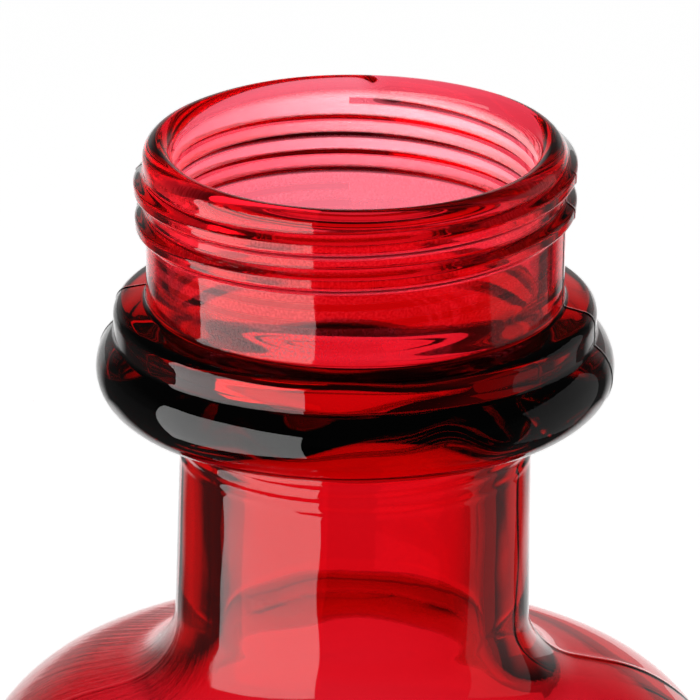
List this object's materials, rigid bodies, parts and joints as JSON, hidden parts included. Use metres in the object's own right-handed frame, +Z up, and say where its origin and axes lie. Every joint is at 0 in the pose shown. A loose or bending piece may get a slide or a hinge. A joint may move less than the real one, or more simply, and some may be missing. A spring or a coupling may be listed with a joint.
{
  "type": "glass oil bottle",
  "caption": "Round red glass oil bottle with an open screw finish, a stepped collar bead and a narrow neck, with its sheet-steel pour spout and dust cap standing beside it.",
  "frame": {"origin": "centre of the bottle's base, on the surface that it stands on", "axes": "+Z up along the bottle's axis; the thread starts at +Y; the pour spout stands towards +X and +Y"},
  "size_m": [0.1417, 0.1207, 0.248],
  "materials": {
    "ruby_glass": "fire-polished, translucent ruby red",
    "tinplate": "tinned, lightly worn",
    "cone_tinplate": "tinned, spun",
    "cork": "pressed cork, matte",
    "cap_tinplate": "tinned, lightly worn"
  },
  "bodies": {
    "bottle": {"glass_bottle": "ruby_glass"},
    "spout": {"screw_collar": "tinplate", "pour_cone": "cone_tinplate", "mouth_gasket": "cork"},
    "dust_cap": {"dust_cap": "cap_tinplate"}
  },
  "joints": [
    {"name": "spout_lift", "type": "slide", "parent": "bottle", "child": "spout", "axis": [0, 0, 1], "range_m": [0, 0.25]},
    {"name": "dust_cap_pull", "type": "slide", "parent": "spout", "child": "dust_cap", "axis": [0, 0, 1], "range_m": [0, 0.03]}
  ]
}
